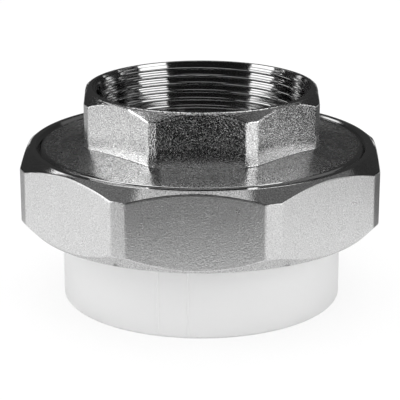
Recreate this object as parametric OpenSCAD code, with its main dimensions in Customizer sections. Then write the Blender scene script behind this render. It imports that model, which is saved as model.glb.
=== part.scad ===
// Pipe union: a white plastic socket that is fused onto a 63 mm pipe, and a plated brass tailpiece
// with a 2 inch female pipe thread. An octagonal nut hooks under the socket's collar, draws the
// tailpiece down and squeezes a flat gasket between the two.
// Millimetres, +Z along the axis, z = 0 at the mouth of the socket.

/* [Socket] */
// Outside diameter of the plastic socket
socket_od = 77.8; // [74:0.2:80]
// Inside diameter that a 63 mm pipe is fused into
socket_bore = 62; // [58:0.1:64]
// Depth of the pipe's seat
socket_depth = 27.5; // [22:0.5:29]
// Height of the socket from its mouth to its sealing face
socket_h = 32.5; // [31:0.5:40]
// Diameter of the collar that the nut hooks under
collar_od = 86.4; // [84:0.2:86.8]
// Thickness of that collar
collar_h = 6.5; // [5:0.5:8]
// Narrowest bore of the waterway, at the pipe's stop
waterway_d = 50; // [44:0.5:52]
// Lead-in chamfer of the socket's mouth
mouth_chamfer = 1.2; // [0.5:0.1:2]
// Rounding of the socket's outer bottom edge
foot_round = 0.8; // [0.4:0.1:1.5]

/* [Gasket] */
// Thickness of the flat gasket once squeezed
gasket_t = 3; // [2:0.5:3.5]
// Outside diameter of the gasket
gasket_od = 85; // [80:0.5:86]
// Inside diameter of the gasket
gasket_id = 54; // [53:0.5:60]

/* [Union nut] */
// Width of the nut across its flats
nut_af = 96.8; // [96.2:0.2:102]
// Width of one flat, between two corner lands
nut_flat_w = 35.2; // [30:0.2:37]
// Height of the nut
nut_h = 21.8; // [19:0.1:24]
// Thickness of the lip that hooks under the collar
lip_h = 4.5; // [3:0.5:6]
// Play between the lip and the socket, on the radius
lip_gap = 0.6; // [0.3:0.1:1]
// Outside diameter of the flat ring on top of the nut
nut_top_d = 94.8; // [93.8:0.2:96.2]
// Outside diameter of the nut's flat underside
nut_base_d = 95.4; // [88:0.2:96.2]
// Slope of the nut's upper chamfer from level
nut_top_deg = 38; // [25:1:45]
// Slope of the nut's lower chamfer from level
nut_base_deg = 46; // [30:1:60]
// Depth of the lead-in chamfer at the nut's upper edge, on the radius
nut_lead = 1.75; // [1.4:0.05:2]
// How far the nut's flats stand turned from the axes
nut_angle = -1.8; // [-22.5:0.1:22.5]

/* [Tailpiece] */
// Width of the neck across its flats
neck_af = 63.6; // [63.2:0.2:70]
// Width of one flat of the neck
neck_flat_w = 23; // [20:0.2:25]
// How far the neck's flats stand turned from the axes
neck_angle = 0.4; // [-22.5:0.1:22.5]
// Height of the neck above the shoulder
neck_h = 14.1; // [12.5:0.1:20]
// Outside diameter of the rim at the top of the neck
rim_d = 62.8; // [62:0.1:63]
// Slope of the neck's top chamfer from level
neck_chamfer_deg = 47; // [30:1:55]
// Rise of the sloping shoulder between the flange's edge and the neck
shoulder_rise = 2.2; // [0.5:0.1:3]
// Thickness of the flange at its edge
flange_h = 7.6; // [7:0.1:9.5]
// Diameter of the flange's upper edge
flange_top_d = 88.4; // [88:0.1:89.6]
// Bore of the tailpiece below the pipe thread
seat_bore = 52; // [48:0.5:54]

/* [Threads] */
// Outer diameter of the 2 inch pipe thread
pipe_thread_d = 59.614; // [59.4:0.002:59.8]
// Pitch of the pipe thread, 11 turns to the inch
pipe_thread_pitch = 2.309; // [2.25:0.001:2.35]
// Length of the pipe thread from the rim
pipe_thread_len = 19.5; // [14:0.5:20]
// Outer diameter of the thread between the nut and the tailpiece
union_thread_d = 90.4; // [90.2:0.05:90.6]
// Pitch of that thread
union_thread_pitch = 2; // [1.9:0.05:2.2]
// Play between crest and root of that thread, on the radius
thread_gap = 0.25; // [0.22:0.01:0.3]
// Straight steps in one turn of a thread
thread_steps = 56; // [40:4:72]

/* [Hidden] */
$fn = 96;

// Heights along the axis
nut_z = socket_h - collar_h - lip_h;
nut_top_z = nut_z + nut_h;
tail_z = socket_h + gasket_t;
flange_z = tail_z + flange_h;
neck_z = flange_z + shoulder_rise;
rim_z = neck_z + neck_h;

// Pipe thread: 55 degree flanks, equal flats on crest and root
pipe_r = pipe_thread_d/2;
pipe_depth = 0.6403*pipe_thread_pitch;
pipe_minor_r = pipe_r - pipe_depth;
pipe_slope = tan(27.5);
pipe_flat = (pipe_thread_pitch - 2*pipe_depth*pipe_slope)/2;

// Union thread: 60 degree flanks, with play on every side
union_slope = tan(30);
union_depth = 0.6*union_thread_pitch;
male_r = union_thread_d/2;
male_root_r = male_r - union_depth;
male_flat = 0.125*union_thread_pitch;
female_minor_r = male_root_r + thread_gap;
step_sag = male_r*(1 - cos(180/thread_steps));
female_root_r = male_r + thread_gap + step_sag;
flank_play = 0.24;

// Half the height of a groove in the tailpiece, and in the nut, at radius r
function male_groove(r) = union_thread_pitch/2 - male_flat/2 - (male_r - r)*union_slope;
function female_groove(r) = male_flat/2 - (r - male_r)*union_slope + flank_play;
// Half the height of a groove of the pipe thread at radius r
function pipe_groove(r) = pipe_flat/2 + (pipe_r - r)*pipe_slope;

// A groove's outline is mirrored about its own middle height: [radius, half height] from end to end
function both_sides(half) = concat(
    [for (p = half) [p[0], p[1]]],
    [for (k = [len(half) - 1:-1:0]) [half[k][0], -half[k][1]]]);

// A groove swept up a right-hand helix, for cutting
module helix_groove(outline, pitch, z_from, z_to) {
    n = len(outline);
    rings = ceil((z_to - z_from)/pitch*thread_steps);
    points = [for (i = [0:rings]) for (p = outline)
        [p[0]*cos(360*i/thread_steps), p[0]*sin(360*i/thread_steps), z_from + p[1] + pitch*i/thread_steps]];
    walls = [for (i = [0:rings - 1]) for (k = [0:n - 1])
        let (a = i*n + k, b = i*n + (k + 1)%n) each [[a, b + n, a + n], [a, b, b + n]]];
    first = [for (k = [n - 1:-1:0]) k];
    last = [for (k = [0:n - 1]) rings*n + k];
    polyhedron(points = points, faces = concat(walls, [first, last]), convexity = 10);
}

// An eight-sided blank, turned to a round land at each corner and to a cone at the top
module octagon_blank(af, flat_w, h, top_d, top_deg) {
    corner_r = sqrt(pow(af/2, 2) + pow(flat_w/2, 2));
    drop = (corner_r - top_d/2)*tan(top_deg);
    intersection() {
        rotate([0, 0, 22.5]) cylinder(d = af/cos(22.5), h = h, $fn = 8);
        rotate_extrude()
            polygon([[0, 0], [corner_r, 0], [corner_r, h - drop], [top_d/2, h], [0, h]]);
    }
}

// White plastic socket: the pipe's seat below, the collar and its sealing face above
module socket() {
    color("white") rotate_extrude() difference() {
        union() {
            translate([foot_round, 0]) square([socket_od/2 - 2*foot_round, socket_h]);
            translate([0, foot_round]) square([socket_od/2, socket_h - foot_round]);
            translate([socket_od/2 - foot_round, foot_round]) circle(r = foot_round);
            translate([0, socket_h - collar_h]) square([collar_od/2, collar_h]);
        }
        translate([0, -1]) square([waterway_d/2, socket_h + 2]);
        translate([0, -1]) square([socket_bore/2, socket_depth + 1]);
        polygon([[0, -1], [socket_bore/2 + mouth_chamfer + 1, -1], [socket_bore/2, mouth_chamfer],
            [0, mouth_chamfer]]);
    }
}

// Flat black gasket between the collar and the tailpiece
module gasket() {
    color("dimgray") translate([0, 0, socket_h]) difference() {
        cylinder(d = gasket_od, h = gasket_t);
        translate([0, 0, -1]) cylinder(d = gasket_id, h = gasket_t + 2);
    }
}

// Plated nut: eight flats outside, a lip at the bottom and the union thread inside
module union_nut() {
    lip_r = socket_od/2 + lip_gap;
    lead_r = female_minor_r + nut_lead;
    reach = 0.1;
    color("silver") difference() {
        translate([0, 0, nut_z]) intersection() {
            rotate([0, 0, nut_angle]) octagon_blank(nut_af, nut_flat_w, nut_h, nut_top_d, nut_top_deg);
            cylinder(r1 = nut_base_d/2, r2 = nut_base_d/2 + nut_h/tan(nut_base_deg), h = nut_h);
        }
        rotate_extrude()
            polygon([[0, nut_z - 1], [lip_r, nut_z - 1], [lip_r, nut_z + lip_h],
                [female_minor_r, nut_z + lip_h], [female_minor_r, nut_top_z - nut_lead],
                [lead_r, nut_top_z], [lead_r, nut_top_z + 1], [0, nut_top_z + 1]]);
        helix_groove(
            both_sides([[female_root_r, female_groove(female_root_r)],
                [female_minor_r - reach, female_groove(female_minor_r - reach)],
                [female_minor_r - 1, female_groove(female_minor_r - reach)]]),
            union_thread_pitch, tail_z - 2.5*union_thread_pitch, nut_top_z + union_thread_pitch);
    }
}

// Plated tailpiece: sloping flange with the union thread, eight-sided neck with the pipe thread
module tailpiece() {
    reach = 0.16;
    foot_r = male_root_r - 0.3;
    pipe_end_z = rim_z - pipe_thread_len;
    mouth_r = pipe_r + 0.3;
    color("silver") difference() {
        union() {
            rotate_extrude()
                polygon([[0, tail_z], [foot_r, tail_z], [male_r, tail_z + male_r - foot_r],
                    [male_r, flange_z - male_r + flange_top_d/2], [flange_top_d/2, flange_z],
                    [neck_af/2 - 1, neck_z + shoulder_rise/(flange_top_d/2 - neck_af/2)], [0, neck_z]]);
            translate([0, 0, flange_z]) rotate([0, 0, neck_angle])
                octagon_blank(neck_af, neck_flat_w, rim_z - flange_z, rim_d, neck_chamfer_deg);
        }
        rotate_extrude()
            polygon([[0, tail_z - 1], [seat_bore/2, tail_z - 1],
                [seat_bore/2, pipe_end_z - pipe_minor_r + seat_bore/2], [pipe_minor_r, pipe_end_z],
                [pipe_minor_r, rim_z - mouth_r + pipe_minor_r], [mouth_r, rim_z], [mouth_r, rim_z + 1],
                [0, rim_z + 1]]);
        helix_groove(
            both_sides([[pipe_r, pipe_flat/2], [pipe_minor_r - reach, pipe_groove(pipe_minor_r - reach)],
                [pipe_minor_r - 1, pipe_groove(pipe_minor_r - reach)]]),
            pipe_thread_pitch, pipe_end_z + pipe_thread_pitch, rim_z + pipe_thread_pitch);
        helix_groove(
            both_sides([[male_r + 2, male_groove(male_r + reach)],
                [male_r + reach, male_groove(male_r + reach)], [male_root_r, male_groove(male_root_r)]]),
            union_thread_pitch, tail_z - union_thread_pitch, flange_z + union_thread_pitch);
    }
}

socket();
gasket();
union_nut();
tailpiece();
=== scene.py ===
import math

import bmesh
import bpy
from mathutils import Matrix, Quaternion, Vector


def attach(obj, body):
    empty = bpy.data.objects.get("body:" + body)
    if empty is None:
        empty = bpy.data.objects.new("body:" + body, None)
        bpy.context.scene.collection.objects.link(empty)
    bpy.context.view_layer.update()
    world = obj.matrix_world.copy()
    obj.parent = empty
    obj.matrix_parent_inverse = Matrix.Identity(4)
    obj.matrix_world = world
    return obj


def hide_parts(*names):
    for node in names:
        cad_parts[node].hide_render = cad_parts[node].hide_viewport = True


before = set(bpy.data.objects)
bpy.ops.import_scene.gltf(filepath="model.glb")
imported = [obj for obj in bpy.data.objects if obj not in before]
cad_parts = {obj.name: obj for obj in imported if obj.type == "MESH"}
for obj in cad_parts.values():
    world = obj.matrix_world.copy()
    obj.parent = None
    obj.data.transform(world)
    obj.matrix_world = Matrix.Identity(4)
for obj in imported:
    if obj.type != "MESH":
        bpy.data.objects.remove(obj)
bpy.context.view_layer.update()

scene = bpy.context.scene
scene.view_settings.view_transform = "Standard"


# Camera: a long lens just under half a metre away, a little above the fitting and square to its front,
# where the photograph was taken from.
CAMERA_AIM = Vector((-0.0004, 0, 0.02619))
CAMERA_DISTANCE = 0.450
CAMERA_RISE = math.radians(17.418)
SENSOR_WIDTH_MM, LENS_MM = 36, 144.03
lens = bpy.data.cameras.new("camera")
lens.sensor_width = SENSOR_WIDTH_MM
lens.lens = LENS_MM
lens.clip_start = 0.01
camera = bpy.data.objects.new("camera", lens)
towards_camera = Vector((0, -math.cos(CAMERA_RISE), math.sin(CAMERA_RISE)))
camera.location = CAMERA_AIM + CAMERA_DISTANCE * towards_camera
camera.rotation_euler = (math.pi / 2 - CAMERA_RISE, 0, 0)
scene.collection.objects.link(camera)
scene.camera = camera


# Studio: a wide pale floor, a big upright soft box on each side, a narrow strip overhead and small weak
# lamps as bounce cards, in a room that is dark in front and grey behind. The plating mirrors them, and
# grey cards on the floor that nothing else sees; two of them are painted shade, the fitting's shadow
# round its foot and under its bore. Three fills, unseen by the plating, light the plastic.
def made(name, bm):
    """Closes a bmesh into an object at the origin."""
    mesh = bpy.data.meshes.new(name)
    bm.to_mesh(mesh)
    bm.free()
    piece = bpy.data.objects.new(name, mesh)
    scene.collection.objects.link(piece)
    return piece


def node(tree, kind, **settings):
    """Adds a shader node; words that name an input socket set it, the others are properties."""
    added = tree.nodes.new(kind)
    for word, value in settings.items():
        socket_name = word.replace("_", " ")
        if socket_name in added.inputs:
            added.inputs[socket_name].default_value = value
        else:
            setattr(added, word, value)
    return added


FLOOR_RADIUS, FLOOR_SIDES = 4.0, 96
FLOOR_GREY = 0.88
FLOOR_SELF_WHITE = 0.85
bm = bmesh.new()
bmesh.ops.create_circle(bm, cap_ends=True, segments=FLOOR_SIDES, radius=FLOOR_RADIUS)
floor = made("floor", bm)

paper = bpy.data.materials.new("pale_floor")
paper.use_nodes = True
tree = paper.node_tree
tree.nodes.clear()
seen = node(tree, "ShaderNodeLightPath")
camera_or_gloss = node(tree, "ShaderNodeMath", operation="MAXIMUM")
or_through = node(tree, "ShaderNodeMath", operation="MAXIMUM")
share = node(tree, "ShaderNodeMath", operation="MULTIPLY")
share.inputs[1].default_value = FLOOR_SELF_WHITE
matt = node(tree, "ShaderNodeBsdfDiffuse", Color=(FLOOR_GREY, FLOOR_GREY, FLOOR_GREY, 1))
white_glow = node(tree, "ShaderNodeEmission", Color=(1, 1, 1, 1), Strength=1.0)
mix = node(tree, "ShaderNodeMixShader")
out = node(tree, "ShaderNodeOutputMaterial")
tree.links.new(seen.outputs["Is Camera Ray"], camera_or_gloss.inputs[0])
tree.links.new(seen.outputs["Is Glossy Ray"], camera_or_gloss.inputs[1])
tree.links.new(camera_or_gloss.outputs[0], or_through.inputs[0])
tree.links.new(seen.outputs["Is Transmission Ray"], or_through.inputs[1])
tree.links.new(or_through.outputs[0], share.inputs[0])
tree.links.new(share.outputs[0], mix.inputs["Fac"])
tree.links.new(matt.outputs[0], mix.inputs[1])
tree.links.new(white_glow.outputs[0], mix.inputs[2])
tree.links.new(mix.outputs[0], out.inputs["Surface"])
floor.data.materials.append(paper)


FOOT_LAYER, BACK_LAYER, FRONT_LAYER = 0.0004, 0.0005, 0.0006


def grey_card(name, tone, corners, lift=FRONT_LAYER):
    """A card flat on the floor that only the plating's reflections see; corners in metres. Cards that
    overlap lie in layers, a fraction of a millimetre above the floor."""
    grey = bpy.data.materials.new(name)
    grey.use_nodes = True
    tree = grey.node_tree
    tree.nodes.clear()
    level = node(tree, "ShaderNodeEmission", Color=(tone, tone, tone, 1), Strength=1.0)
    out = node(tree, "ShaderNodeOutputMaterial")
    tree.links.new(level.outputs[0], out.inputs["Surface"])
    bm = bmesh.new()
    bm.faces.new([bm.verts.new((x, y, lift)) for x, y in corners])
    sheet = made(name, bm)
    sheet.data.materials.append(grey)
    sheet.visible_camera = False
    sheet.visible_diffuse = False
    sheet.visible_shadow = False


grey_card("front_card", 0.01, ((-0.40, -0.60), (0.08, -0.60), (0.066, -0.19), (0.038, -0.155),
                               (-0.08, -0.155), (-0.105, -0.125), (-0.19, -0.160)))
grey_card("near_front_card", 0.35, ((-0.08, -0.155), (0.038, -0.155), (0.040, -0.104), (-0.105, -0.100),
                                    (-0.105, -0.125)))
# Painted shadow: a grey ring of card round the foot, where the fitting shades the floor, seen only in
# reflections.
FOOT_SHADE_R, FOOT_SHADE_SIDES = 0.066, 32
foot_angles = [2 * math.pi * k / FOOT_SHADE_SIDES for k in range(FOOT_SHADE_SIDES)]
foot_circle = [(FOOT_SHADE_R * math.cos(t), FOOT_SHADE_R * math.sin(t)) for t in foot_angles]
grey_card("foot_shade", 0.72, foot_circle, FOOT_LAYER)
grey_card("right_card", 0.04, ((0.190, -0.08), (0.29, -0.25), (0.34, -0.25), (0.34, 0.30), (0.190, 0.0)))
grey_card("left_card", 0.60, ((-0.225, -0.20), (-0.225, 0.05), (-0.40, 0.12), (-0.40, -0.25)))
grey_card("back_right_card", 0.10, ((0.06, 0.03), (0.203, 0.0), (0.60, 0.60), (0.06, 0.60)),
          BACK_LAYER)
grey_card("back_left_card", 0.42, ((-0.05, 0.045), (-0.05, 0.60), (-0.60, 0.60), (-0.30, 0.06),
                                   (-0.115, 0.03)), BACK_LAYER)
# Painted shade: the floor inside the bore lies in the fitting's shadow, given as a near-black card that
# only reflections see.
grey_card("painted_shade_under_bore", 0.02, ((-0.03, -0.03), (0.03, -0.03), (0.03, 0.03), (-0.03, 0.03)))


LAMPS_LOOK_AT = Vector((0, 0, 0.03))


def soft_box(name, azimuth, elevation, distance, size, radiance, upright=False, lean=0.0, glossy=True):
    """An area lamp; azimuth runs from the front, -Y, towards +X, and radiance 1 shows as white."""
    lamp = bpy.data.lights.new(name, "AREA")
    lamp.shape = "RECTANGLE"
    lamp.size, lamp.size_y = size
    lamp.energy = radiance * lamp.size * lamp.size_y * math.pi
    box = bpy.data.objects.new(name, lamp)
    a, e = math.radians(azimuth), math.radians(elevation)
    away = Vector((math.sin(a) * math.cos(e), -math.cos(a) * math.cos(e), math.sin(e)))
    box.location = LAMPS_LOOK_AT + away * distance
    if upright:
        away.z = 0
    roll = Quaternion((0, 0, 1), math.radians(lean))
    box.rotation_euler = (away.to_track_quat("Z", "Y") @ roll).to_euler()
    box.visible_glossy = glossy
    box.visible_camera = False
    scene.collection.objects.link(box)


soft_box("left_box", -74.85, 29.6, 1.035, (0.47, 0.99), 2.2, upright=True, lean=10)
soft_box("left_box_top", -82.5, 53, 1.496, (0.47, 0.39), 0.5, upright=True, lean=10)
soft_box("right_box", 57.5, 23.5, 0.98, (0.55, 0.70), 2.1, upright=True, lean=-5)
soft_box("left_bounce", -97, 31, 0.9, (0.24, 0.22), 1.5)
soft_box("right_bounce", 95, 31, 0.9, (0.24, 0.22), 0.75)
soft_box("back_left_bounce", -131, 38, 0.9, (0.18, 0.16), 1.3)
soft_box("left_ceiling", -110, 58, 0.9, (0.70, 0.45), 0.16)
soft_box("right_ceiling", 112, 54, 0.9, (0.80, 0.66), 0.13)
soft_box("back_top_bounce", 180, 56, 0.9, (0.60, 0.20), 1.8)
soft_box("left_low", -91, 3.5, 1.0, (0.36, 0.13), 2.8, upright=True)
soft_box("right_low", 91, 3.5, 1.0, (0.36, 0.13), 2.0, upright=True)
soft_box("front_bounce", 0, 33, 1.0, (0.50, 0.14), 0.7)
soft_box("top_strip", -14, 79.5, 0.2755, (0.205, 0.06), 0.64, lean=14)
soft_box("top_fill", 0, 90, 1.0, (1.6, 1.6), 1.9, glossy=False)
soft_box("front_fill", 0, 35, 1.2, (1.6, 1.0), 0.9, glossy=False)
soft_box("back_fill", 180, 35, 1.2, (1.6, 1.0), 0.6, glossy=False)

ROOM_FRONT_GREY, ROOM_BACK_GREY = 0.012, 0.042
room = bpy.data.worlds.new("studio")
room.use_nodes = True
tree = room.node_tree
sky = tree.nodes["Background"]
sky.inputs["Color"].default_value = (1, 1, 1, 1)
seen = node(tree, "ShaderNodeLightPath")
towards = node(tree, "ShaderNodeTexCoord")
along = node(tree, "ShaderNodeSeparateXYZ")
grey = node(tree, "ShaderNodeMapRange", From_Min=-1.0, From_Max=1.0,
            To_Min=ROOM_FRONT_GREY, To_Max=ROOM_BACK_GREY)
level = node(tree, "ShaderNodeMapRange", To_Max=1.0)
tree.links.new(towards.outputs["Generated"], along.inputs["Vector"])
tree.links.new(along.outputs["Y"], grey.inputs["Value"])
tree.links.new(grey.outputs["Result"], level.inputs["To Min"])
tree.links.new(seen.outputs["Is Camera Ray"], level.inputs["Value"])
tree.links.new(level.outputs["Result"], sky.inputs["Strength"])
scene.world = room


# Socket: the white polypropylene half that is fused onto the pipe. Injection moulded in one piece, with
# a seat for the pipe below and a collar and sealing face above, which the nut's lip hooks under. Two
# faint upright lines on its front are left by the mould.
MM = 0.001
SAME_POINT = 1e-7
CORNER_SEGMENTS = 4


def turned(name, outline, soft, columns, start=0.0):
    """Spins a closed outline of (radius, height) in mm; soft gives the rounding of each corner named."""
    bm = bmesh.new()
    corners = [bm.verts.new((r * MM, 0, z * MM)) for r, z in outline]
    for a, b in zip(corners, corners[1:] + corners[:1]):
        bm.edges.new((a, b))
    for corner, reach in soft.items():
        bmesh.ops.bevel(bm, geom=[corners[corner]], offset=reach * MM, offset_type="OFFSET",
                        segments=CORNER_SEGMENTS, profile=0.5, affect="VERTICES", material=-1)
    bmesh.ops.spin(bm, geom=bm.verts[:] + bm.edges[:], cent=(0, 0, 0), axis=(0, 0, 1),
                   angle=2 * math.pi, steps=columns, use_merge=True)
    bmesh.ops.remove_doubles(bm, verts=bm.verts, dist=SAME_POINT)
    bmesh.ops.rotate(bm, verts=bm.verts, cent=(0, 0, 0),
                     matrix=Matrix.Rotation(math.radians(start), 3, "Z"))
    bmesh.ops.recalc_face_normals(bm, faces=bm.faces)
    return made(name, bm)


WELD_REACH, SLIVER_WIDTH = 2e-6, 1e-6


def carve(body, tool, operation):
    """Cuts, joins or trims body with tool, closes any slit that leaves, and throws the tool away."""
    cut = body.modifiers.new("carve", "BOOLEAN")
    cut.operation = operation
    cut.solver = "EXACT"
    cut.object = tool
    cut.material_mode = "TRANSFER"
    solid = bpy.data.meshes.new_from_object(body.evaluated_get(bpy.context.evaluated_depsgraph_get()))
    body.modifiers.clear()
    rough = body.data
    body.data = solid
    bpy.data.meshes.remove(rough)
    bpy.data.objects.remove(tool)
    bm = bmesh.new()
    bm.from_mesh(solid)
    bmesh.ops.remove_doubles(bm, verts=bm.verts, dist=WELD_REACH)
    bmesh.ops.dissolve_degenerate(bm, edges=bm.edges, dist=SLIVER_WIDTH)
    bmesh.ops.holes_fill(bm, edges=[edge for edge in bm.edges if edge.is_boundary], sides=0)
    bm.to_mesh(solid)
    bm.free()


def even_shading(piece, sharp_deg=40):
    """Smooth shading that breaks at hard edges and keeps flat faces flat beside their eased edges."""
    piece.data.shade_smooth()
    piece.data.set_sharp_from_angle(angle=math.radians(sharp_deg))
    weights = piece.modifiers.new("flat_faces_stay_flat", "WEIGHTED_NORMAL")
    weights.keep_sharp = True


SOCKET_R, COLLAR_R, WATERWAY_R = 38.9, 43.2, 25.0
COLLAR_BASE_Z, PIPE_STOP_Z, SEAL_Z = 26.0, 27.5, 32.5
SEAT_MOUTH_R, SEAT_STOP_R = 31.2, 30.75
SOCKET_LEAD_R, SOCKET_LEAD_Z = 32.2, 1.2
SOCKET_COLUMNS = 240
socket = turned("white_socket",
                [(SOCKET_LEAD_R, 0), (SOCKET_R, 0), (SOCKET_R, COLLAR_BASE_Z), (COLLAR_R, COLLAR_BASE_Z),
                 (COLLAR_R, SEAL_Z), (WATERWAY_R, SEAL_Z), (WATERWAY_R, PIPE_STOP_Z),
                 (SEAT_STOP_R, PIPE_STOP_Z), (SEAT_MOUTH_R, SOCKET_LEAD_Z)],
                {0: 0.15, 1: 0.8, 2: 0.4, 3: 0.3, 4: 0.3, 5: 0.4, 6: 0.4, 7: 0.5, 8: 0.3}, SOCKET_COLUMNS)

MOULD_LINE_ANGLES = (-17.2, -5.3)
MOULD_LINE_R, MOULD_LINE_PROUD, MOULD_LINE_SIDES = 0.5, 0.20, 40
MOULD_LINE_FOOT, MOULD_LINE_TOP = 0.9, 25.0
for side_angle in MOULD_LINE_ANGLES:
    bm = bmesh.new()
    bmesh.ops.create_cone(bm, cap_ends=True, segments=MOULD_LINE_SIDES, radius1=MOULD_LINE_R * MM,
                          radius2=MOULD_LINE_R * MM, depth=(MOULD_LINE_TOP - MOULD_LINE_FOOT) * MM)
    bmesh.ops.translate(bm, verts=bm.verts,
                        vec=(0, -(SOCKET_R - MOULD_LINE_R + MOULD_LINE_PROUD) * MM,
                             (MOULD_LINE_TOP + MOULD_LINE_FOOT) / 2 * MM))
    bmesh.ops.rotate(bm, verts=bm.verts, cent=(0, 0, 0),
                     matrix=Matrix.Rotation(math.radians(side_angle), 3, "Z"))
    carve(socket, made("mould_line", bm), "UNION")


def moulded(name, tone, specular, skin, swell, dull, relief):
    """A moulded surface: skin is its fine relief, and swell its slow drift between two dullnesses."""
    surface = bpy.data.materials.new(name)
    surface.use_nodes = True
    tree = surface.node_tree
    shader = tree.nodes["Principled BSDF"]
    shader.inputs["Base Color"].default_value = (tone, tone, tone, 1)
    shader.inputs["Specular IOR Level"].default_value = specular
    place = node(tree, "ShaderNodeTexCoord")
    fine = node(tree, "ShaderNodeTexNoise", **skin)
    slow = node(tree, "ShaderNodeTexNoise", **swell)
    gloss = node(tree, "ShaderNodeMapRange", To_Min=dull[0], To_Max=dull[1])
    raised = node(tree, "ShaderNodeBump", **relief)
    for texture in (fine, slow):
        tree.links.new(place.outputs["Object"], texture.inputs["Vector"])
    tree.links.new(slow.outputs["Fac"], gloss.inputs["Value"])
    tree.links.new(gloss.outputs["Result"], shader.inputs["Roughness"])
    tree.links.new(fine.outputs["Fac"], raised.inputs["Height"])
    tree.links.new(raised.outputs["Normal"], shader.inputs["Normal"])
    return surface


socket.data.materials.clear()
socket.data.materials.append(moulded("white_moulding", tone=0.85, specular=0.25,
                                     skin={"Scale": 1500.0, "Detail": 2.0, "Roughness": 0.55},
                                     swell={"Scale": 90.0, "Detail": 1.0}, dull=(0.34, 0.44),
                                     relief={"Strength": 0.25, "Distance": 0.00002}))
even_shading(socket)
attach(socket, "socket")
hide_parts("socket")


# Gasket: a flat black rubber ring, moulded, laid loose on the socket's sealing face and squeezed by the
# tailpiece.
GASKET_HOLE_R, GASKET_R, GASKET_TOP_Z = 27, 42.5, 35.5
GASKET_EDGE, GASKET_COLUMNS = 0.35, 160
gasket = turned("rubber_gasket",
                [(GASKET_HOLE_R, SEAL_Z), (GASKET_R, SEAL_Z), (GASKET_R, GASKET_TOP_Z),
                 (GASKET_HOLE_R, GASKET_TOP_Z)],
                {corner: GASKET_EDGE for corner in range(4)}, GASKET_COLUMNS)

gasket.data.materials.append(moulded("black_rubber", tone=0.022, specular=0.5,
                                     skin={"Scale": 2600.0, "Detail": 3.0, "Roughness": 0.6},
                                     swell={"Scale": 220.0, "Detail": 3.0}, dull=(0.5, 0.75),
                                     relief={"Strength": 0.4, "Distance": 0.00004}))
even_shading(gasket)
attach(gasket, "socket")
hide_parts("gasket")


# Union nut: hot-pressed brass, an octagon with flat lands at its corners, turned on both faces to a
# chamfer and threaded inside, then shot blasted and nickel plated. Its lip hooks under the collar.
BAR_EDGE_SEGMENTS = 3


def eight_sided_bar(name, across, flat_w, angle, edge, z_from, z_to):
    """An octagonal bar with a narrow flat land on each corner and eased long edges, in mm."""
    bm = bmesh.new()
    eighth = math.pi / 8
    bmesh.ops.create_circle(bm, cap_ends=False, segments=8, radius=across / 2 / math.cos(eighth) * MM)
    bmesh.ops.rotate(bm, verts=bm.verts, cent=(0, 0, 0),
                     matrix=Matrix.Rotation(eighth + math.radians(angle), 3, "Z"))
    land = (across * math.tan(eighth) - flat_w) / 2
    for reach, segments in ((land, 1), (edge, BAR_EDGE_SEGMENTS)):
        bmesh.ops.bevel(bm, geom=bm.verts[:], offset=reach * MM, offset_type="OFFSET", segments=segments,
                        profile=0.5, affect="VERTICES", material=-1)
    bmesh.ops.translate(bm, verts=bm.verts, vec=(0, 0, z_from * MM))
    walls = bmesh.ops.extrude_edge_only(bm, edges=bm.edges[:])
    upper = [g for g in walls["geom"] if isinstance(g, bmesh.types.BMVert)]
    bmesh.ops.translate(bm, verts=upper, vec=(0, 0, (z_to - z_from) * MM))
    bmesh.ops.holes_fill(bm, edges=bm.edges[:], sides=0)
    bmesh.ops.recalc_face_normals(bm, faces=bm.faces)
    return made(name, bm)


RIDGE_SEGMENTS = 5
TURN_SEAM = 5e-6


def screw(name, outline, soft, pitch, z_from, z_to, columns):
    """A right-hand screw: an outline of (radius, height) in mm that ends one pitch above its start, wound
    round the axis from +X; soft gives the rounding of each corner named."""
    bm = bmesh.new()
    shift = pitch * math.floor((z_from - outline[0][1]) / pitch - 1)
    corners = [bm.verts.new((r * MM, 0, (z + shift) * MM)) for r, z in outline]
    for a, b in zip(corners, corners[1:]):
        bm.edges.new((a, b))
    for corner, reach in soft.items():
        bmesh.ops.bevel(bm, geom=[corners[corner]], offset=reach * MM, offset_type="OFFSET",
                        segments=RIDGE_SEGMENTS, profile=0.5, affect="VERTICES", material=-1)
    bmesh.ops.spin(bm, geom=bm.verts[:] + bm.edges[:], cent=(0, 0, 0), axis=(0, 0, 1),
                   dvec=(0, 0, pitch / columns * MM), angle=2 * math.pi, steps=columns)
    one_turn = bm.verts[:] + bm.edges[:] + bm.faces[:]
    turns = math.ceil((z_to - z_from) / pitch) + 3
    for k in range(1, turns):
        copy = bmesh.ops.duplicate(bm, geom=one_turn)["geom"]
        bmesh.ops.translate(bm, vec=(0, 0, k * pitch * MM),
                            verts=[g for g in copy if isinstance(g, bmesh.types.BMVert)])
    bmesh.ops.remove_doubles(bm, verts=bm.verts, dist=TURN_SEAM)
    for z, up in ((z_from, -1), (z_to, 1)):
        cut = bmesh.ops.bisect_plane(bm, geom=bm.verts[:] + bm.edges[:] + bm.faces[:], dist=SAME_POINT,
                                     plane_co=(0, 0, z * MM), plane_no=(0, 0, up), clear_outer=True)
        end = [g for g in cut["geom_cut"] if isinstance(g, bmesh.types.BMEdge)]
        bmesh.ops.holes_fill(bm, edges=end, sides=0)
    bmesh.ops.recalc_face_normals(bm, faces=bm.faces)
    return made(name, bm)


HALF_VEE = math.radians(30)


def vee(mid_r, depth, pitch, ridge_z):
    """The outline and roundings of a 60 degree thread; ridge_z is the height of one ridge on +X."""
    sharp_reach = pitch / 4 / math.tan(HALF_VEE)
    round_r = (sharp_reach - depth / 2) / (1 / math.sin(HALF_VEE) - 1)
    outline = [(mid_r, ridge_z - pitch / 4), (mid_r + sharp_reach, ridge_z),
               (mid_r - sharp_reach, ridge_z + pitch / 2), (mid_r, ridge_z + 3 * pitch / 4)]
    return outline, {corner: round_r / math.tan(HALF_VEE) for corner in (1, 2)}


CREASE_DEG = 20
EDGE_SEGMENTS = 3


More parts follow.
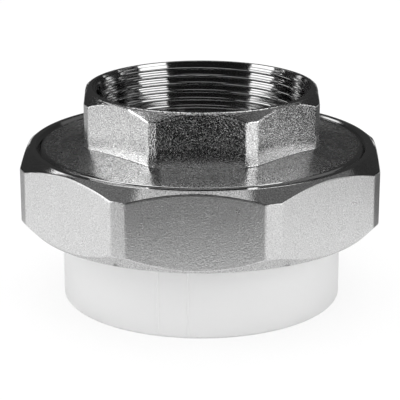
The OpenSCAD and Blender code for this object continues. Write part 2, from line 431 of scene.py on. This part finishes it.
def ease(body, wanted, reach, crease=CREASE_DEG):
    """Rounds the edges that turn more than crease degrees where wanted(radius, height) says so, in mm."""
    bm = bmesh.new()
    bm.from_mesh(body.data)
    picked = []
    for edge in bm.edges:
        if len(edge.link_faces) == 2:
            middle = (edge.verts[0].co + edge.verts[1].co) / 2 / MM
            creased = edge.calc_face_angle() > math.radians(crease)
            if creased and wanted(math.hypot(middle.x, middle.y), middle.z):
                picked.append(edge)
    bmesh.ops.bevel(bm, geom=picked, offset=reach * MM, offset_type="OFFSET",
                    segments=EDGE_SEGMENTS, profile=0.5, affect="EDGES", clamp_overlap=False, material=-1)
    bm.to_mesh(body.data)
    bm.free()


def nickel(name, shade, dull, grain_mm, grain_depth_mm, fleck, lathe=0.0):
    """Nickel plating: grain is the blasted texture and fleck its dark and light specks; lathe is how far
    the tool's fine rings draw out a glint."""
    finish = bpy.data.materials.new(name)
    finish.use_nodes = True
    tree = finish.node_tree
    shader = tree.nodes["Principled BSDF"]
    shader.inputs["Metallic"].default_value = 1.0
    shader.inputs["Anisotropic"].default_value = lathe
    place = node(tree, "ShaderNodeTexCoord")
    patches = node(tree, "ShaderNodeTexNoise", Scale=140.0, Detail=3.0, Roughness=0.6)
    gloss = node(tree, "ShaderNodeMapRange", From_Min=0.3, From_Max=0.7,
                 To_Min=dull * 0.9, To_Max=dull * 1.1)
    grain = node(tree, "ShaderNodeTexNoise", Scale=1 / (grain_mm * MM), Detail=1.0, Roughness=0.5)
    specks = node(tree, "ShaderNodeTexNoise", Scale=1.3 / (grain_mm * MM), Detail=0.0)
    tone = node(tree, "ShaderNodeMapRange", clamp=False, From_Min=0.35, From_Max=0.65,
                To_Min=shade - fleck, To_Max=shade + fleck)
    raised = node(tree, "ShaderNodeBump", Strength=1.0, Distance=grain_depth_mm * MM)
    for texture in (patches, grain, specks):
        tree.links.new(place.outputs["Object"], texture.inputs["Vector"])
    tree.links.new(specks.outputs["Fac"], tone.inputs["Value"])
    tree.links.new(tone.outputs["Result"], shader.inputs["Base Color"])
    tree.links.new(patches.outputs["Fac"], gloss.inputs["Value"])
    tree.links.new(gloss.outputs["Result"], shader.inputs["Roughness"])
    tree.links.new(grain.outputs["Fac"], raised.inputs["Height"])
    tree.links.new(raised.outputs["Normal"], shader.inputs["Normal"])
    if lathe:
        round_the_axis = node(tree, "ShaderNodeVectorMath", operation="CROSS_PRODUCT")
        round_the_axis.inputs[0].default_value = (0, 0, 1)
        turned_with_it = node(tree, "ShaderNodeVectorTransform", vector_type="VECTOR",
                              convert_from="OBJECT", convert_to="WORLD")
        surface = node(tree, "ShaderNodeNewGeometry")
        across_rings = node(tree, "ShaderNodeVectorMath", operation="CROSS_PRODUCT")
        tree.links.new(place.outputs["Object"], round_the_axis.inputs[1])
        tree.links.new(round_the_axis.outputs["Vector"], turned_with_it.inputs["Vector"])
        tree.links.new(turned_with_it.outputs["Vector"], across_rings.inputs[0])
        tree.links.new(surface.outputs["Normal"], across_rings.inputs[1])
        tree.links.new(across_rings.outputs["Vector"], shader.inputs["Tangent"])
    return finish


fine_blast = nickel("fine_blasted_nickel", shade=0.66, dull=0.30,
                    grain_mm=0.34, grain_depth_mm=0.08, fleck=0.08)
coarse_blast = nickel("coarse_blasted_nickel", shade=0.69, dull=0.13,
                      grain_mm=0.38, grain_depth_mm=0.055, fleck=0.13)
flange_blast = nickel("flange_blasted_nickel", shade=0.66, dull=0.27,
                      grain_mm=0.34, grain_depth_mm=0.02, fleck=0.36)
satin = nickel("satin_nickel", shade=0.66, dull=0.10,
               grain_mm=0.36, grain_depth_mm=0.012, fleck=0.11)
bright = nickel("turned_nickel", shade=0.66, dull=0.12,
                grain_mm=0.25, grain_depth_mm=0.002, fleck=0.01)
# Painted shade: the threads' nickel is darker than the turned nickel, standing in for the shade deep in
# the grooves of the bore and inside the union.
threaded = nickel("threaded_nickel_painted_shade", shade=0.54, dull=0.09,
                  grain_mm=0.25, grain_depth_mm=0.001, fleck=0.01, lathe=0.2)
FINISHES = (fine_blast, coarse_blast, flange_blast, satin, bright, threaded)
FINE, COARSE, FLANGE, SATIN, BRIGHT, THREADED = range(len(FINISHES))


def lay_finishes(body, choose):
    """Gives each face the finish that choose(radius, height, outward, up) names."""
    body.data.materials.clear()
    for finish in FINISHES:
        body.data.materials.append(finish)
    for face in body.data.polygons:
        middle = face.center / MM
        radius = math.hypot(middle.x, middle.y)
        outward = (face.normal.x * middle.x + face.normal.y * middle.y) / max(radius, 1e-6)
        face.material_index = choose(radius, middle.z, outward, face.normal.z)


NUT_ANGLE = -1.8
NUT_ACROSS, NUT_FLAT = 96.8, 35.2
NUT_BASE_Z, LIP_TOP_Z, NUT_TOP_Z = 21.5, 26.0, 43.3
NUT_BASE_R, NUT_TOP_R, NUT_BLANK_R = 47.7, 47.4, 54
BASE_CHAMFER_Z, TOP_CHAMFER_Z = 28.02, 38.14
LIP_R, LEAD_R, RELIEF_R, TAP_DRILL_R = 39.5, 46.0, 45.7, 43.9
RELIEF_TOP_Z, LEAD_FOOT_Z = 28.5, 41.2
UNION_PITCH, UNION_RIDGE_Z = 2, 36.5
NUT_THREAD_R, NUT_THREAD_DEPTH = 44.9, 1.25
NUT_COLUMNS = 336
NUT_BAR_SPAN, NUT_TAP_SPAN = (20, 44), (27, 46)
BAR_EDGE, NUT_EDGE = 0.5, 0.35
nut = turned("plated_nut",
             [(LIP_R, NUT_BASE_Z), (NUT_BASE_R, NUT_BASE_Z), (NUT_BLANK_R, BASE_CHAMFER_Z),
              (NUT_BLANK_R, TOP_CHAMFER_Z), (NUT_TOP_R, NUT_TOP_Z), (LEAD_R, NUT_TOP_Z),
              (TAP_DRILL_R, LEAD_FOOT_Z), (TAP_DRILL_R, RELIEF_TOP_Z), (RELIEF_R, RELIEF_TOP_Z),
              (RELIEF_R, LIP_TOP_Z), (LIP_R, LIP_TOP_Z)],
             {0: 0.3, 1: 0.35, 4: 0.2, 5: 0.15, 10: 0.2}, NUT_COLUMNS, NUT_ANGLE)
nut_bar = eight_sided_bar("nut_bar", NUT_ACROSS, NUT_FLAT, NUT_ANGLE, BAR_EDGE, *NUT_BAR_SPAN)
carve(nut, nut_bar, "INTERSECT")
ease(nut, lambda r, z: r > NUT_BASE_R + 0.4 and NUT_BASE_Z + 0.7 < z < NUT_TOP_Z - 0.7, NUT_EDGE)
nut_thread = vee(NUT_THREAD_R, NUT_THREAD_DEPTH, UNION_PITCH, UNION_RIDGE_Z)
carve(nut, screw("nut_tap", *nut_thread, UNION_PITCH, *NUT_TAP_SPAN, NUT_COLUMNS), "DIFFERENCE")


UPRIGHT_FACE, SLOPING_FACE = 0.85, 0.3


def nut_finish(radius, height, outward, up):
    """Flats and lands are blasted, the chamfers satin, and the thread and faces as the tool left them."""
    if outward > UPRIGHT_FACE and radius > NUT_TOP_R - 0.4:
        return FINE
    if outward > SLOPING_FACE and radius > LEAD_R + 0.5:
        return SATIN
    if radius < RELIEF_R + 0.1 and LIP_TOP_Z - 0.5 < height < NUT_TOP_Z - 0.6:
        return THREADED
    return BRIGHT


lay_finishes(nut, nut_finish)
even_shading(nut)
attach(nut, "nut")
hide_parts("union_nut")


# Tailpiece: one brass pressing, an eight-sided neck for the wrench on a round sloping flange. The pipe
# thread, the rim and the union thread on the flange are turned; the rest is blasted, and all is plated.
NECK_ANGLE = 0.4
NECK_ACROSS, NECK_FLAT = 63.6, 23.0
TAIL_Z, FLANGE_EDGE_Z, NECK_BASE_Z, RIM_Z = 35.5, 43.1, 45.44, 59.4
SEAT_BORE_R, FLANGE_FOOT_R, FLANGE_R, FLANGE_TOP_R = 26, 43.7, 45.3, 44.2
FLANGE_FOOT_CHAMFER_Z, FLANGE_TOP_CHAMFER_Z = 37.1, 42.0
NECK_BORE_R, NECK_ROOT_R, NECK_BLANK_R = 27, 31, 38
NECK_FOOT_Z, SHOULDER_Z, NECK_CHAMFER_Z = 43.7, 44.2, 52.32
PAST_NECK_R, UPPER_NECK_Z = 36, 50
RIM_R, MOUTH_R = 31.4, 30.1
MOUTH_STEPS = [(29.93, 58.7), (29.2, 58.7), (29.03, 58.0), (28.3, 58.0), (NECK_BORE_R, 56.7)]
TAIL_COLUMNS = 280
NECK_BAR_SPAN = (43, 60.5)
NECK_EDGE, RIM_ROUND = 0.3, 0.6
tail = turned("plated_tailpiece",
              [(NECK_BORE_R, NECK_FOOT_Z), (NECK_BLANK_R, NECK_FOOT_Z), (NECK_BLANK_R, NECK_CHAMFER_Z),
               (RIM_R, RIM_Z), (MOUTH_R, RIM_Z)] + MOUTH_STEPS,
              {3: RIM_ROUND, 4: 0.1}, TAIL_COLUMNS, NECK_ANGLE)
neck_bar = eight_sided_bar("neck_bar", NECK_ACROSS, NECK_FLAT, NECK_ANGLE, BAR_EDGE, *NECK_BAR_SPAN)
carve(tail, neck_bar, "INTERSECT")
ease(tail, lambda r, z: r > RIM_R + 0.8 and UPPER_NECK_Z < z < RIM_Z - 0.3, NECK_EDGE)
flange = turned("flange",
                [(SEAT_BORE_R, TAIL_Z), (FLANGE_FOOT_R, TAIL_Z), (FLANGE_R, FLANGE_FOOT_CHAMFER_Z),
                 (FLANGE_R, FLANGE_TOP_CHAMFER_Z), (FLANGE_TOP_R, FLANGE_EDGE_Z),
                 (NECK_ROOT_R, NECK_BASE_Z), (SEAT_BORE_R, NECK_BASE_Z)],
                {0: 0.2, 4: 0.5}, TAIL_COLUMNS, NECK_ANGLE)
carve(tail, flange, "UNION")
NECK_FOOT_CREASE_DEG = 50
ease(tail, lambda r, z: NECK_ROOT_R < r < PAST_NECK_R and SHOULDER_Z < z < NECK_BASE_Z + 0.1,
     NECK_EDGE, NECK_FOOT_CREASE_DEG)

# Each turn of the pipe thread carries three feed marks of the tool: a slight undercut below a leaning
# face. A chamfer breaks the crest.
PIPE_PITCH, PIPE_CREST_R, PIPE_ROOT_R, PIPE_CREST_Z = 2.309, 28.33, 29.81, 42.209
PIPE_TAP_SPAN, PIPE_COLUMNS = (39.9, 62), 240
FEED_MARKS, MARK_HEIGHT, UNDERCUT_HEIGHT = 3, 0.50, 0.22
UNDERCUT, LEAN = 0.059, 0.070
CREST_CHAMFER = 0.07
tread = (PIPE_ROOT_R - PIPE_CREST_R - LEAN) / (FEED_MARKS - 1)
crest_z = PIPE_CREST_Z - (FEED_MARKS - 0.5) * MARK_HEIGHT
under_flank_mid = ((PIPE_CREST_R + PIPE_ROOT_R) / 2,
                   crest_z - (PIPE_PITCH - FEED_MARKS * MARK_HEIGHT) / 2)
pipe_outline = [under_flank_mid]
for mark in range(FEED_MARKS):
    inner_r = PIPE_CREST_R + mark * tread
    foot_z = crest_z + mark * MARK_HEIGHT
    top_r, top_z = inner_r + LEAN, foot_z + MARK_HEIGHT
    pipe_outline += [(inner_r + UNDERCUT, foot_z), (inner_r, foot_z + UNDERCUT_HEIGHT)]
    if mark == 0:
        pipe_outline += [(top_r, top_z - CREST_CHAMFER), (top_r + CREST_CHAMFER, top_z)]
    else:
        pipe_outline.append((top_r, top_z))
pipe_outline.append((under_flank_mid[0], under_flank_mid[1] + PIPE_PITCH))
carve(tail, screw("pipe_tap", pipe_outline, {}, PIPE_PITCH, *PIPE_TAP_SPAN, PIPE_COLUMNS), "DIFFERENCE")

# The die cuts the union thread, a little inside the flange's blank.
FLANGE_THREAD_R, FLANGE_THREAD_DEPTH, FLANGE_DIE_SPAN = 44.6, 1.2, (33, 62)
flange_thread = vee(FLANGE_THREAD_R, FLANGE_THREAD_DEPTH, UNION_PITCH, UNION_RIDGE_Z)
carve(tail, screw("flange_die", *flange_thread, UNION_PITCH, *FLANGE_DIE_SPAN, TAIL_COLUMNS), "INTERSECT")


FACES_OUT, FACES_UP = 0.2, 0.5


def tail_finish(radius, height, outward, up):
    """The neck is blasted coarsely, the flange's slope finely, and the threads and the rest turned."""
    if outward > FACES_OUT and MOUTH_R + 0.7 < radius < PAST_NECK_R and height > SHOULDER_Z:
        return COARSE
    if up > FACES_UP and NECK_ROOT_R + 0.5 < radius < FLANGE_FOOT_R and height < NECK_BASE_Z + 0.36:
        return FLANGE
    if radius < MOUTH_R + 0.1 or outward > 0.1 and height < FLANGE_TOP_CHAMFER_Z + 0.3:
        return THREADED
    return BRIGHT


lay_finishes(tail, tail_finish)
even_shading(tail)

# The facets of the pipe thread are kept apart, so that each mirrors its own strip of the room.
FACETS_PART_AT = math.radians(10)
bm = bmesh.new()
bm.from_mesh(tail.data)
for edge in bm.edges:
    middle = (edge.verts[0].co + edge.verts[1].co) / 2
    if math.hypot(middle.x, middle.y) < MOUTH_R * MM and edge.calc_face_angle(0) > FACETS_PART_AT:
        edge.smooth = False
bm.to_mesh(tail.data)
bm.free()
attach(tail, "tail")
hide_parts("tailpiece")
